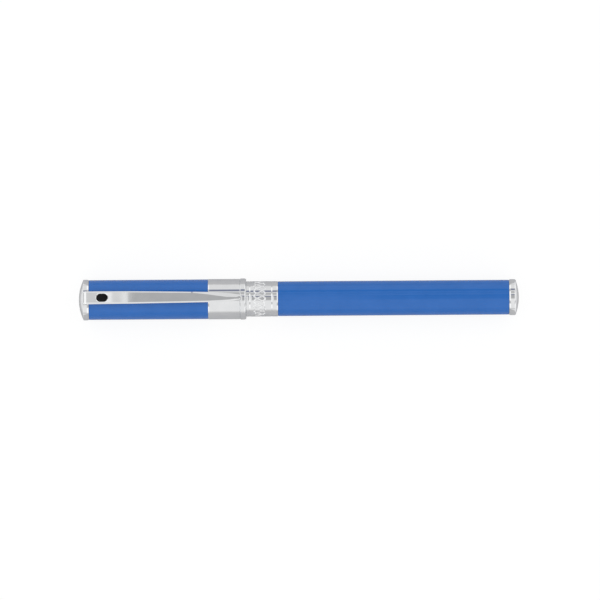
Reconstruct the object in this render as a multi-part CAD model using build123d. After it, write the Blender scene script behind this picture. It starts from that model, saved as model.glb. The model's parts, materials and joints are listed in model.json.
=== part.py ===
"""Capped rollerball pen: lacquered brass cap and barrel with chrome fittings.

The pen lies along X, tail towards +X, pocket clip on the +Z side. The origin is at the
middle of its length, under the axis, at the height of its lowest point. Millimetres.
"""
from build123d import *
import math
import os

# Driving dimensions -------------------------------------------------------------------
LENGTH = 138.0            # capped, dome to dome
CAP_LENGTH = 52.5         # crown dome to the lip of the cap
DOME_HEIGHT = 1.4
CROWN_RING_LENGTH = 1.75
BAND_LENGTH = 10.1
LIP_LENGTH = 1.85
CENTRE_RING_LENGTH = 9.95
TAIL_RING_LENGTH = 2.2
TAIL_DOME_HEIGHT = 0.85

DOME_RADIUS = 6.25
CROWN_RING_RADIUS = 6.375
CAP_RADIUS = 6.225
BAND_RADIUS = 6.31
LIP_RADIUS = 6.45
CENTRE_RING_RADIUS = 5.53
BARREL_RADIUS = 5.45
TAIL_RING_RADIUS = 5.65
TAIL_DOME_RADIUS = 4.95

# Crown
CROWN_CHAMFER = 0.12      # on the ring's edge under the dome
CROWN_BEVEL_LENGTH = 0.55 # on the ring's edge towards the cap tube
CROWN_BEVEL_DROP = 0.13
POCKET_DEPTH = 1.2        # pocket in the crown ring for the clip's washer
STUD_RADIUS = 1.5         # stud of the crown dome
STUD_REACH = 2.1          # into the plug
PLUG_LENGTH = 2.3
NOTCH_PLAY = 0.1          # each side of the clip's tang
NOTCH_DEPTH = 1.25

# Cap
CAP_BORE = 5.6            # inner radius of the cap tube
BAND_SEAT = 6.0           # radius of the cap tube's neck under the band
NECK_BACK = 3.5           # from the seam to the end of the neck
BAND_BEVEL_LENGTH = 0.35
BAND_GROOVE = 0.12        # fine groove in front of the lip
LIP_ROUNDING = 0.55
LIP_BACK_ROUNDING = 0.15
MOUTH_BORE = 5.15         # inner radius of the cap's lip
MOUTH_LENGTH = 0.8
LINER_RADIUS = 5.55       # outside of the plastic inner cap
LINER_BORE = 5.12
LINER_NOSE_RADIUS = 5.1
LINER_NOSE_BORE = 4.55
LINER_STEP = 28.5         # from the seam to the step down to the nose
LINER_TAPER = 0.6
LINER_GAP = 2.5           # between the crown ring and the liner's closed end
LINER_WALL = 1.0          # of its closed end

# Clip
CLIP_OVERHANG = 0.27      # the clip's front face stands before the crown ring
CLIP_END_BACK = 1.65      # from the seam to the clip's tip
NIB_BACK = 5.2            # from the seam to the point that touches the band
CLIP_CREST = 8.7          # highest point of the face, above the axis
CREST_REACH = 16.0        # from the crown's apex to the crest
ROOT_FALL = 0.0025        # how fast the face falls from the crest to the crown
TIP_FALL = 0.0009         # and from the crest to the tip
CLIP_THICKNESS = 0.95
CLIP_TIP_THICKNESS = 0.6
CLIP_CORNER = 1.5         # radius of the bend over the crown
CLIP_ROOT_HALF = 2.02     # half width at the crown
CLIP_CREST_HALF = 1.95
CLIP_WAIST_HALF = 1.74
CLIP_BAND_HALF = 1.58     # half width where the blade passes the band's edge
CLIP_NIB_HALF = 1.2
CLIP_TIP_HALF = 0.7
CLIP_BEVEL = 0.42
TANG_THICKNESS = 0.6
TANG_PLAY = 0.1           # between the tang and the dome
TANG_REACH = 5.0          # the blade's tang goes down to this radius
WASHER_RADIUS = 3.5
WASHER_HOLE = 1.85        # clears the dome's stud when the clip flexes
STRIP_WIDTH = 3.2         # joins the washer to the tang
INLAY_REACH = 7.4         # from the crown's apex to the middle of the inlay
INLAY_LENGTH = 3.6
INLAY_WIDTH = 2.5
INLAY_DEPTH = 0.35
INLAY_PLAY = 0.04
INLAY_ROUNDING = 0.12

# Barrel
BARREL_BORE = 4.95        # inner radius of the barrel tube
RING_BORE = 4.55          # inner radius at the centre ring's face
RING_LINE_DEPTH = 0.1     # fine turned lines of the centre ring
RING_LINE_HALF = 0.18
RING_LINE_FRONT = 1.15    # from the seam to the first line
RING_LINE_BACK = 1.9      # from the second line to the barrel
RING_EDGE = 0.1
BUSH_RADIUS = 5.15        # bush under the centre ring
BUSH_COUNTERBORE = 4.45   # radius round the O-ring
BUSH_RELIEF = 4.4         # radius behind the thread
BUSH_REACH = 8.5          # how far the bush reaches into the barrel
THREAD_RUNOUT = 1.6
THREAD_LEAD_IN = 2        # turns
THREAD_LEAD_OUT = 2       # turns
TAIL_STUD_RADIUS = 2.0
TAIL_STUD_DEPTH = 2.4     # blind hole in the tail plug
TAIL_STUD_REACH = 2.2
TAIL_ROUNDING = 0.6
TAIL_BEVEL_LENGTH = 0.45
TAIL_BEVEL_DROP = 0.17
BOSS_LENGTH = 1.8         # boss of the tail plug, inside the spring
BOSS_RADIUS = 1.7
BOSS_TIP_RADIUS = 1.5

# Thread between the barrel and the section
THREAD_PITCH = 1.0
THREAD_TURNS = 5.5
THREAD_ROOT = 3.75        # male core radius
THREAD_CREST = 4.15       # male crest radius
THREAD_PLAY = 0.1         # clearance on radius and on each flank
THREAD_OVERLAP = 0.05     # sinks the ridge into its core
RIDGE_ROOT_WIDTH = 0.55
RIDGE_CREST_WIDTH = 0.2

# Section
GRIP_LENGTH = 26.0
TRIM_LENGTH = 2.0
NOSE_LENGTH = 10.5
COLLAR_RADIUS = 5.0
COLLAR_LAND = 0.7         # second land, past the snap groove
GRIP_SHOULDER = 0.4
GRIP_BACK_RADIUS = 4.72
GRIP_WAIST_RADIUS = 4.32
GRIP_FRONT_RADIUS = 4.02
SNAP_GROOVE_START = 1.0   # from the seam towards the tip
SNAP_GROOVE_WIDTH = 1.5
SNAP_GROOVE_FLOOR = 4.4
SNAP_PROUD = 0.06         # the snap ring stands above the collar
SNAP_PLAY = 0.1           # in its groove, each side
SNAP_FLOOR_PLAY = 0.08
SNAP_ROUNDING = 0.2
SNAP_SPLIT = 1.0
REFILL_CHANNEL = 3.12     # bore round the refill
SLEEVE_RADIUS = 3.9
SLEEVE_REACH = 8.0
NECK_TAIL = 0.9           # plain end of the screwed neck
NECK_CHAMFER = 0.3
O_RING_MAJOR = 4.1
O_RING_MINOR = 0.29
TRIM_RADIUS = 4.15
TRIM_ROUNDING = 0.25
NOSE_SPIGOT = 6.0         # how far the nose cone reaches back
NOSE_SPIGOT_RADIUS = 3.6
NOSE_BACK_RADIUS = 3.95
NOSE_MIDDLE_RADIUS = 2.98
NOSE_FRONT_RADIUS = 1.62
NOSE_BORE = 1.25          # radius round the writing tip
NOSE_SEAT_BORE = 2.0      # radius round the refill's neck
NOSE_TAPER = 0.6

# Refill
REFILL_LENGTH = 111.0
REFILL_RADIUS = 3.0
REFILL_BORE = 2.6
TIP_REACH = 40.5          # seam to the ball's apex
BALL_RADIUS = 0.35
BALL_PLAY = 0.02
SOCKET_LIP = 0.12         # lengths along the tip are from the ball's apex
SOCKET_RADIUS = 0.36
CONE_STEP = 1.2
CONE_STEP_RADIUS = 0.64
CONE_END = 2.6
TIP_RADIUS = 1.15
TIP_LENGTH = 9.5
INK_DUCT_START = 1.6
INK_DUCT_RADIUS = 0.15
INK_DUCT_END = 2.9
THROAT_START = 6.2        # where the nose cone's bore widens
SHOULDER_START = 7.0
SHOULDER_NECK_RADIUS = 1.9
SHOULDER_CHAMFER = 0.3
SHOULDER_CHAMFER_DROP = 0.15
SHOULDER_SEAT = 11.5      # the shoulder rests on the nose cone's seat
SHOULDER_BACK = 13.0
SHOULDER_SPIGOT = 17.5
WICK_RADIUS = 0.45
WICK_FRONT = 3.0
WICK_BACK = 24.0
RESERVOIR_FRONT = 19.0
RESERVOIR_BACK = 8.0      # from the refill's end
END_PLUG_REACH = 6.0
END_PLUG_HEAD = 1.0
END_PLUG_CHAMFER = 0.3
SPRING_ROOM = 8.0         # refill's end to the tail plug
SPRING_SLACK = 0.25       # at each end
SPRING_WIRE = 0.2         # wire radius
SPRING_MEAN = 2.3
SPRING_TURNS = 7

# Stations along X ---------------------------------------------------------------------
CAP_END = -LENGTH / 2
CROWN_FACE = CAP_END + DOME_HEIGHT            # dome sits on the crown ring here
CROWN_BACK = CROWN_FACE + CROWN_RING_LENGTH   # crown ring sits on the cap tube here
SEAM = CAP_END + CAP_LENGTH                   # cap lip meets the centre ring
LIP_START = SEAM - LIP_LENGTH
BAND_START = LIP_START - BAND_LENGTH
NECK_END = SEAM - NECK_BACK
MOUTH_START = SEAM - MOUTH_LENGTH
CLIP_FRONT = CROWN_FACE - CLIP_OVERHANG
CLIP_TIP = SEAM - CLIP_END_BACK
NIB_X = SEAM - NIB_BACK
CREST_X = CAP_END + CREST_REACH
INLAY_X = CAP_END + INLAY_REACH
TANG_FRONT = CROWN_FACE + TANG_PLAY
BARREL_START = SEAM + CENTRE_RING_LENGTH
TAIL_DOME_FACE = LENGTH / 2 - TAIL_DOME_HEIGHT
BARREL_END = TAIL_DOME_FACE - TAIL_RING_LENGTH
TIP = SEAM - TIP_REACH
REFILL_END = TIP + REFILL_LENGTH
SPRING_SEAT = REFILL_END + SPRING_ROOM
AXIS_HEIGHT = LIP_RADIUS                      # the lip touches the table

COUNTERBORE_END = SEAM + 1.9                  # room for the O-ring in the bush
MALE_THREAD_START = SEAM + 2.9
MALE_THREAD_END = MALE_THREAD_START + THREAD_TURNS * THREAD_PITCH
BUSH_FACE = SEAM + 0.5
O_RING_X = SEAM + 0.9

GRIP_FRONT = SEAM - GRIP_LENGTH
TRIM_START = GRIP_FRONT - TRIM_LENGTH
NOSE_FRONT = TRIM_START - NOSE_LENGTH


# Helpers ------------------------------------------------------------------------------
def turned(*points):
    """Solid of revolution about the X axis through (x, radius) corner points."""
    outline = Polyline(*[(x, 0, radius) for x, radius in points], close=True)
    return revolve(make_face(outline), Axis.X)


def tube(start, end, outer, inner):
    """Plain tube between two stations."""
    return turned((start, inner), (start, outer), (end, outer), (end, inner))


def rod(start, end, radius):
    """Plain rod between two stations."""
    return turned((start, 0), (start, radius), (end, radius), (end, 0))


def rim(solid, x, radius):
    """Circular edges of a turned solid at one station and radius."""
    found = []
    for edge in solid.edges().filter_by(GeomType.CIRCLE):
        if abs(edge.arc_center.X - x) < 1e-3 and abs(edge.radius - radius) < 1e-3:
            found.append(edge)
    return found


def bevel_cutter(edge_x, run, radius, drop):
    """Ring that cuts a shallow bevel: run along the axis from the edge, drop in radius."""
    clear = radius + 1
    return turned((edge_x, radius - drop), (edge_x, clear), (edge_x + run, clear), (edge_x + run, radius))


def dome(face_x, apex_x, base_radius):
    """Spherical cap whose flat base is at face_x and whose apex is at apex_x."""
    height = abs(apex_x - face_x)
    sphere_radius = (base_radius**2 + height**2) / (2 * height)
    half_angle = math.asin(base_radius / sphere_radius) / 2
    sag = sphere_radius * (1 - math.cos(half_angle))
    shoulder_x = apex_x + math.copysign(sag, face_x - apex_x)
    shoulder = (shoulder_x, 0, sphere_radius * math.sin(half_angle))
    outline = [
        ThreePointArc((apex_x, 0, 0), shoulder, (face_x, 0, base_radius)),
        Line((face_x, 0, base_radius), (face_x, 0, 0)),
        Line((face_x, 0, 0), (apex_x, 0, 0)),
    ]
    return revolve(make_face(Wire(outline)), Axis.X)


def thread_ridge(start, turns, root_radius, crest_radius, root_width, crest_width):
    """Right-hand helical ridge of trapezoid section, wound about X."""
    mean = (root_radius + crest_radius) / 2
    path = Helix(THREAD_PITCH, THREAD_PITCH * turns, mean, (start, 0, 0), (1, 0, 0))
    begin = path @ 0
    outward = Vector(0, begin.Y, begin.Z).normalized()
    section_plane = Plane(origin=begin, x_dir=(1, 0, 0), z_dir=Vector(1, 0, 0).cross(outward))
    depth = crest_radius - root_radius
    section = section_plane * make_face(
        Polyline(
            (-root_width / 2, -depth / 2),
            (-crest_width / 2, depth / 2),
            (crest_width / 2, depth / 2),
            (root_width / 2, -depth / 2),
            close=True,
        )
    )
    return sweep(section, path=path, is_frenet=True)


# Cap ----------------------------------------------------------------------------------
def crown_dome():
    """Polished crown button with the stud that holds the clip."""
    button = dome(CROWN_FACE, CAP_END, DOME_RADIUS)
    return button + rod(CROWN_FACE, CROWN_BACK + STUD_REACH, STUD_RADIUS)


def crown_ring():
    """Chrome ring under the dome, with a pocket and a notch for the clip's tang."""
    pocket_floor = CROWN_FACE + POCKET_DEPTH
    ring = tube(CROWN_FACE, CROWN_BACK, CROWN_RING_RADIUS, STUD_RADIUS)
    ring = chamfer(rim(ring, CROWN_FACE, CROWN_RING_RADIUS), CROWN_CHAMFER)
    ring -= bevel_cutter(CROWN_BACK, -CROWN_BEVEL_LENGTH, CROWN_RING_RADIUS, CROWN_BEVEL_DROP)
    ring -= tube(CROWN_FACE, pocket_floor, CAP_BORE, STUD_RADIUS)
    notch = Pos((CROWN_FACE + pocket_floor) / 2, 0, CROWN_RING_RADIUS)
    notch *= Box(POCKET_DEPTH, 2 * (CLIP_ROOT_HALF + NOTCH_PLAY), 2 * NOTCH_DEPTH)
    return ring - notch


def crown_plug():
    """Brass plug in the cap tube's end that takes the dome's stud."""
    return tube(CROWN_BACK, CROWN_BACK + PLUG_LENGTH, CAP_BORE, STUD_RADIUS)


def cap_tube():
    """Lacquered brass tube of the cap, with a stepped neck under the band."""
    return turned(
        (CROWN_BACK, CAP_BORE),
        (CROWN_BACK, CAP_RADIUS),
        (BAND_START, CAP_RADIUS),
        (BAND_START, BAND_SEAT),
        (NECK_END, BAND_SEAT),
        (NECK_END, CAP_BORE),
    )


def cap_band():
    """Chrome band with a fine groove and the raised rounded lip, turned in one piece."""
    band = turned(
        (BAND_START, BAND_SEAT),
        (BAND_START, CAP_RADIUS),
        (BAND_START + BAND_BEVEL_LENGTH, BAND_RADIUS),
        (LIP_START - BAND_GROOVE, BAND_RADIUS),
        (LIP_START, BAND_RADIUS - BAND_GROOVE),
        (LIP_START, LIP_RADIUS),
        (SEAM, LIP_RADIUS),
        (SEAM, MOUTH_BORE),
        (MOUTH_START, MOUTH_BORE),
        (MOUTH_START, LINER_RADIUS),
        (NECK_END, LINER_RADIUS),
        (NECK_END, BAND_SEAT),
    )
    band = fillet(rim(band, SEAM, LIP_RADIUS), LIP_ROUNDING)
    return fillet(rim(band, LIP_START, LIP_RADIUS), LIP_BACK_ROUNDING)


def inner_cap():
    """Black plastic liner that closes round the section and keeps the tip moist."""
    step = SEAM - LINER_STEP
    nose = step - LINER_TAPER
    blind_end = CROWN_BACK + LINER_GAP
    return turned(
        (MOUTH_START, LINER_BORE),
        (MOUTH_START, LINER_RADIUS),
        (step, LINER_RADIUS),
        (nose, LINER_NOSE_RADIUS),
        (blind_end, LINER_NOSE_RADIUS),
        (blind_end, 0),
        (blind_end + LINER_WALL, 0),
        (blind_end + LINER_WALL, LINER_NOSE_BORE),
        (nose, LINER_NOSE_BORE),
        (step, LINER_BORE),
    )


# Clip ---------------------------------------------------------------------------------
def clip_top(x):
    """Height of the clip's face above the pen's axis: it falls both ways from its crest."""
    fall = ROOT_FALL if x < CREST_X else TIP_FALL
    return CLIP_CREST - fall * (x - CREST_X) ** 2


def clip_curve(stations, offset):
    """Smooth line that follows the clip's face at an offset below it."""
    return Spline(*[(x, 0, clip_top(x) - offset) for x in stations])


def chain(*places):
    """Straight lines through (x, z) points in the XZ plane."""
    return Polyline(*[(x, 0, z) for x, z in places]).edges()


def clip_nib(under_end):
    """Edges of the tip: the end face, the line to the nib, and the nib on the band."""
    tip_top = clip_top(CLIP_TIP)
    nib_back = (NIB_X + 1.1, BAND_RADIUS + 0.22)
    blade_end = (under_end, 0, clip_top(under_end) - CLIP_THICKNESS)
    nib = ThreePointArc((nib_back[0], 0, nib_back[1]), (NIB_X, 0, BAND_RADIUS + 0.02), blade_end)
    return chain((CLIP_TIP, tip_top), (CLIP_TIP, tip_top - CLIP_TIP_THICKNESS), nib_back) + [nib]


def clip_bend(under_start, top_start):
    """Edges of the bend over the crown and of the tang in the crown ring's notch."""
    corner = clip_top(top_start)
    inner_corner = (under_start, 0, clip_top(under_start) - CLIP_THICKNESS)
    throat = (TANG_FRONT + TANG_THICKNESS, 6.75)
    inner_bend = ThreePointArc(inner_corner, (throat[0] + 0.3, 0, 7.2), (throat[0], 0, throat[1]))
    face_foot = (CLIP_FRONT, corner - CLIP_CORNER + 0.15)
    tang = chain(
        throat,
        (throat[0], TANG_REACH),
        (TANG_FRONT, TANG_REACH),
        (TANG_FRONT, DOME_RADIUS),
        (CLIP_FRONT, DOME_RADIUS + 0.3),
        face_foot,
    )
    outer_bend = ThreePointArc(
        (face_foot[0], 0, face_foot[1]),
        (CLIP_FRONT + 0.46, 0, corner - 0.4),
        (top_start, 0, corner),
    )
    return [inner_bend, *tang, outer_bend]


def clip_side():
    """Side outline of the blade and the bend over the crown, as a face in the XZ plane."""
    top_start = CLIP_FRONT + CLIP_CORNER
    under_start = CLIP_FRONT + 1.9
    under_end = NIB_X - 1.6
    root = [top_start, (top_start + CREST_X) / 2, CREST_X]
    blade = [CREST_X, CREST_X + 12.0, CREST_X + 24.0, CLIP_TIP]
    under = [under_end, NIB_X - 16.0, CREST_X]
    edges = [
        clip_curve(root, 0),
        clip_curve(blade, 0),
        *clip_nib(under_end),
        clip_curve(under, CLIP_THICKNESS),
        clip_curve([CREST_X, (under_start + CREST_X) / 2, under_start], CLIP_THICKNESS),
        *clip_bend(under_start, top_start),
    ]
    return make_face(Wire(edges))


def clip_plan():
    """Outline of the blade seen from above, tapering to a rounded tip."""
    start = CLIP_FRONT - 1
    nose = CLIP_TIP - 0.35
    edges = [ThreePointArc((nose, CLIP_TIP_HALF), (CLIP_TIP, 0), (nose, -CLIP_TIP_HALF))]
    for side in (1, -1):
        waist = [
            (start, side * CLIP_ROOT_HALF),
            (CREST_X, side * CLIP_CREST_HALF),
            (BAND_START - 8.85, side * CLIP_WAIST_HALF),
            (BAND_START, side * CLIP_BAND_HALF),
        ]
        edge = Spline(*waist)
        taper = Spline(
            waist[-1],
            (NIB_X, side * CLIP_NIB_HALF),
            (nose, side * CLIP_TIP_HALF),
            tangents=[edge % 1, Vector(1, -0.16 * side)],
        )
        edges += [edge, taper]
    edges.append(Line((start, -CLIP_ROOT_HALF), (start, CLIP_ROOT_HALF)))
    return make_face(Wire(edges))


def clip_washer():
    """Flat washer under the dome, with the strip that rises to the tang."""
    end = TANG_FRONT + TANG_THICKNESS
    washer = tube(TANG_FRONT, end, WASHER_RADIUS, WASHER_HOLE)
    low = WASHER_HOLE + 0.55
    high = TANG_REACH + 0.8
    strip = Pos((TANG_FRONT + end) / 2, 0, (low + high) / 2)
    strip *= Box(TANG_THICKNESS, STRIP_WIDTH, high - low)
    return washer + strip


def face_edges(blade):
    """Long edges of the blade's face, which carry the side bevels."""
    found = []
    for edge in blade.edges():
        middle = edge @ 0.5
        on_face = abs(middle.Z - clip_top(middle.X)) < 0.05
        if on_face and edge.length > 3 and abs(middle.Y) > CLIP_TIP_HALF:
            found.append(edge)
    return found


def on_inlay(solid):
    """A solid moved to the inlay's place and leaned with the clip's face there."""
    lean = math.degrees(math.atan(2 * ROOT_FALL * (CREST_X - INLAY_X)))
    return Pos(INLAY_X, 0, clip_top(INLAY_X)) * Rot(0, -lean, 0) * solid


def clip():
    """Chrome pocket clip: bevelled blade, bend, and a washer held under the dome."""
    blade = extrude(clip_side(), 3, both=True) & extrude(clip_plan(), 20)
    blade = chamfer(face_edges(blade), CLIP_BEVEL)
    recess = extrude(Pos(0, 0, -INLAY_DEPTH) * SlotOverall(INLAY_LENGTH, INLAY_WIDTH), 1)
    return blade + clip_washer() - on_inlay(recess)


def clip_inlay():
    """Plain oval of black lacquer let into the clip's face, rounded at its edge."""
    outline = SlotOverall(INLAY_LENGTH - INLAY_PLAY, INLAY_WIDTH - INLAY_PLAY)
    pill = extrude(Pos(0, 0, -INLAY_DEPTH) * outline, INLAY_DEPTH - INLAY_PLAY)
    return on_inlay(fillet(pill.edges().group_by(Axis.Z)[-1], INLAY_ROUNDING))


# Barrel -------------------------------------------------------------------------------
def barrel_tube():
    """Lacquered brass barrel, straight and plain."""
    return tube(BARREL_START, BARREL_END, BARREL_RADIUS, BARREL_BORE)


def centre_ring():
    """Chrome ring between cap and barrel, with two fine turned lines."""
    points = [
        (SEAM, RING_BORE),
        (SEAM, CENTRE_RING_RADIUS - RING_EDGE),
        (SEAM + RING_EDGE, CENTRE_RING_RADIUS),
    ]
    for x in (SEAM + RING_LINE_FRONT, BARREL_START - RING_LINE_BACK):
        points += [
            (x - RING_LINE_HALF, CENTRE_RING_RADIUS),
            (x, CENTRE_RING_RADIUS - RING_LINE_DEPTH),
            (x + RING_LINE_HALF, CENTRE_RING_RADIUS),
        ]
    points += [
        (BARREL_START - BAND_BEVEL_LENGTH, CENTRE_RING_RADIUS),
        (BARREL_START, BARREL_RADIUS),
        (BARREL_START, BUSH_RADIUS),
        (BUSH_FACE, BUSH_RADIUS),
        (BUSH_FACE, RING_BORE),
    ]
    return turned(*points)


def thread_bush():
    """Brass bush in the barrel's mouth, with the female thread for the section."""
    thread_end = MALE_THREAD_END + THREAD_RUNOUT
    bush_end = BARREL_START + BUSH_REACH
    bush = turned(
        (BUSH_FACE, BUSH_COUNTERBORE),
        (BUSH_FACE, BUSH_RADIUS),
        (BARREL_START, BUSH_RADIUS),
        (BARREL_START, BARREL_BORE),
        (bush_end, BARREL_BORE),
        (bush_end, BUSH_RELIEF),
        (thread_end, BUSH_RELIEF),
        (thread_end, THREAD_ROOT + THREAD_PLAY),
        (COUNTERBORE_END, THREAD_ROOT + THREAD_PLAY),
        (COUNTERBORE_END, BUSH_COUNTERBORE),
    )
    groove = thread_ridge(
        MALE_THREAD_START - THREAD_LEAD_IN * THREAD_PITCH,
        THREAD_TURNS + THREAD_LEAD_IN + THREAD_LEAD_OUT,
        THREAD_ROOT - THREAD_OVERLAP,
        THREAD_CREST + THREAD_PLAY,
        RIDGE_ROOT_WIDTH + 2 * THREAD_PLAY,
        RIDGE_CREST_WIDTH + 2 * THREAD_PLAY,
    )
    return bush - groove


def tail_plug():
    """Brass plug that closes the barrel, with a boss inside the spring."""
    return turned(
        (SPRING_SEAT - BOSS_LENGTH, 0),
        (SPRING_SEAT - BOSS_LENGTH, BOSS_TIP_RADIUS),
        (SPRING_SEAT, BOSS_RADIUS),
        (SPRING_SEAT, BARREL_BORE),
        (BARREL_END, BARREL_BORE),
        (BARREL_END, TAIL_STUD_RADIUS),
        (BARREL_END - TAIL_STUD_DEPTH, TAIL_STUD_RADIUS),
        (BARREL_END - TAIL_STUD_DEPTH, 0),
    )


def tail_ring():
    """Chrome ring on the tail end of the barrel, rounded towards the dome."""
    ring = tube(BARREL_END, TAIL_DOME_FACE, TAIL_RING_RADIUS, TAIL_STUD_RADIUS)
    ring = fillet(rim(ring, TAIL_DOME_FACE, TAIL_RING_RADIUS), TAIL_ROUNDING)
    return ring - bevel_cutter(BARREL_END, TAIL_BEVEL_LENGTH, TAIL_RING_RADIUS, TAIL_BEVEL_DROP)


def tail_dome():
    """Polished tail button with its stud."""
    button = dome(TAIL_DOME_FACE, LENGTH / 2, TAIL_DOME_RADIUS)
    return button + rod(BARREL_END - TAIL_STUD_REACH, TAIL_DOME_FACE, TAIL_STUD_RADIUS)


def refill_spring():
    """Compression spring between the refill and the tail plug."""
    start = REFILL_END + SPRING_SLACK + SPRING_WIRE
    height = SPRING_ROOM - 2 * (SPRING_SLACK + SPRING_WIRE)
    path = Helix(height / SPRING_TURNS, height, SPRING_MEAN, (start, 0, 0), (1, 0, 0))
    section = Plane(origin=path @ 0, z_dir=path % 0) * Circle(SPRING_WIRE)
    return sweep(section, path=path, is_frenet=True)


# Section ------------------------------------------------------------------------------
def section_o_ring():
    """Rubber O-ring on the section's neck, in the bush's counterbore."""
    return Pos(O_RING_X, 0, 0) * Rot(0, 90, 0) * Torus(O_RING_MAJOR, O_RING_MINOR)


def section_sleeve():
    """Brass core of the section: screwed neck, and a spigot bonded into the grip."""
    neck_end = MALE_THREAD_END + NECK_TAIL
    sleeve = turned(
        (SEAM - SLEEVE_REACH, REFILL_CHANNEL),
        (SEAM - SLEEVE_REACH, SLEEVE_RADIUS),
        (SEAM, SLEEVE_RADIUS),
        (SEAM, THREAD_ROOT),
        (neck_end - NECK_CHAMFER, THREAD_ROOT),
        (neck_end, THREAD_ROOT - NECK_CHAMFER),
        (neck_end, REFILL_CHANNEL),
    )
    ridge = thread_ridge(
        MALE_THREAD_START,
        THREAD_TURNS,
        THREAD_ROOT - THREAD_OVERLAP,
        THREAD_CREST,
        RIDGE_ROOT_WIDTH,
        RIDGE_CREST_WIDTH,
    )
    return sleeve + ridge


def grip_section():
    """Black resin grip: collar, groove for the snap ring, and a waisted taper."""
    groove_start = SEAM - SNAP_GROOVE_START
    groove_end = groove_start - SNAP_GROOVE_WIDTH
    land_end = groove_end - COLLAR_LAND
    counterbore = TRIM_START + NOSE_SPIGOT
    return waisted(
        (GRIP_FRONT, GRIP_FRONT_RADIUS),
        (GRIP_FRONT, NOSE_SPIGOT_RADIUS),
        (counterbore, NOSE_SPIGOT_RADIUS),
        (counterbore, REFILL_CHANNEL),
        (SEAM - SLEEVE_REACH, REFILL_CHANNEL),
        (SEAM - SLEEVE_REACH, SLEEVE_RADIUS),
        (SEAM, SLEEVE_RADIUS),
        (SEAM, COLLAR_RADIUS),
        (groove_start, COLLAR_RADIUS),
        (groove_start, SNAP_GROOVE_FLOOR),
        (groove_end, SNAP_GROOVE_FLOOR),
        (groove_end, COLLAR_RADIUS),
        (land_end, COLLAR_RADIUS),
        (land_end - GRIP_SHOULDER, GRIP_BACK_RADIUS),
        through=((land_end + GRIP_FRONT) / 2, GRIP_WAIST_RADIUS),
    )


def waisted(*corners, through):
    """Turned solid whose last side, from the last corner to the first, is an arc."""
    places = [(x, 0, radius) for x, radius in corners]
    flank = ThreePointArc(places[-1], (through[0], 0, through[1]), places[0])
    return revolve(make_face(Polyline(*places).edges() + [flank]), Axis.X)


def nose_trim_ring():
    """Thin chrome ring between the grip and the nose cone."""
    ring = tube(TRIM_START, GRIP_FRONT, TRIM_RADIUS, NOSE_SPIGOT_RADIUS)
    edges = rim(ring, TRIM_START, TRIM_RADIUS) + rim(ring, GRIP_FRONT, TRIM_RADIUS)
    return fillet(edges, TRIM_ROUNDING)


def nose_cone():
    """Chrome nose with the seat that stops the refill, and a spigot in the grip."""
    seat = TIP + SHOULDER_SEAT
    throat = TIP + THROAT_START
    return waisted(
        (NOSE_FRONT, NOSE_FRONT_RADIUS),
        (NOSE_FRONT, NOSE_BORE),
        (throat, NOSE_BORE),
        (throat + NOSE_TAPER, NOSE_SEAT_BORE),
        (seat, NOSE_SEAT_BORE),
        (seat, REFILL_CHANNEL),
        (TRIM_START + NOSE_SPIGOT, REFILL_CHANNEL),
        (TRIM_START + NOSE_SPIGOT, NOSE_SPIGOT_RADIUS),
        (TRIM_START, NOSE_SPIGOT_RADIUS),
        (TRIM_START, NOSE_BACK_RADIUS),
        through=((TRIM_START + NOSE_FRONT) / 2, NOSE_MIDDLE_RADIUS),
    )


def snap_ring():
    """Split spring ring that grips the inner cap."""
    middle = SEAM - SNAP_GROOVE_START - SNAP_GROOVE_WIDTH / 2
    half = SNAP_GROOVE_WIDTH / 2 - SNAP_PLAY
    outer = COLLAR_RADIUS + SNAP_PROUD
    ring = tube(middle - half, middle + half, outer, SNAP_GROOVE_FLOOR + SNAP_FLOOR_PLAY)
    ring = fillet(rim(ring, middle - half, outer) + rim(ring, middle + half, outer), SNAP_ROUNDING)
    split = Pos(middle, 0, -COLLAR_RADIUS) * Box(4 * half, SNAP_SPLIT, 2)
    return ring - split


# Refill -------------------------------------------------------------------------------
def refill_tube():
    """Steel tube of the refill."""
    return tube(TIP + SHOULDER_BACK, REFILL_END - END_PLUG_HEAD, REFILL_RADIUS, REFILL_BORE)


def refill_shoulder():
    """Plastic shoulder that joins the tube to the writing tip."""
    start = TIP + SHOULDER_START
    return turned(
        (start, TIP_RADIUS),
        (start, SHOULDER_NECK_RADIUS - SHOULDER_CHAMFER_DROP),
        (start + SHOULDER_CHAMFER, SHOULDER_NECK_RADIUS),
        (TIP + SHOULDER_SEAT, SHOULDER_NECK_RADIUS),
        (TIP + SHOULDER_SEAT, REFILL_RADIUS),
        (TIP + SHOULDER_BACK, REFILL_RADIUS),
        (TIP + SHOULDER_BACK, REFILL_BORE),
        (TIP + SHOULDER_SPIGOT, REFILL_BORE),
        (TIP + SHOULDER_SPIGOT, WICK_RADIUS),
        (TIP + TIP_LENGTH, WICK_RADIUS),
        (TIP + TIP_LENGTH, TIP_RADIUS),
    )


def refill_tip():
    """Steel writing tip with the ball's socket."""
    tip = turned(
        (TIP + SOCKET_LIP, 0),
        (TIP + SOCKET_LIP, SOCKET_RADIUS),
        (TIP + CONE_STEP, CONE_STEP_RADIUS),
        (TIP + CONE_END, TIP_RADIUS),
        (TIP + TIP_LENGTH, TIP_RADIUS),
        (TIP + TIP_LENGTH, WICK_RADIUS),
        (TIP + INK_DUCT_END, WICK_RADIUS),
        (TIP + INK_DUCT_START, INK_DUCT_RADIUS),
        (TIP + INK_DUCT_START, 0),
    )
    return tip - Pos(TIP + BALL_RADIUS, 0, 0) * Sphere(BALL_RADIUS + BALL_PLAY)


def refill_ball():
    """Tungsten carbide writing ball."""
    return Pos(TIP + BALL_RADIUS, 0, 0) * Sphere(BALL_RADIUS)


def refill_wick():
    """Fibre wick that feeds ink from the reservoir to the tip."""
    return rod(TIP + WICK_FRONT, TIP + WICK_BACK, WICK_RADIUS)


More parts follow.
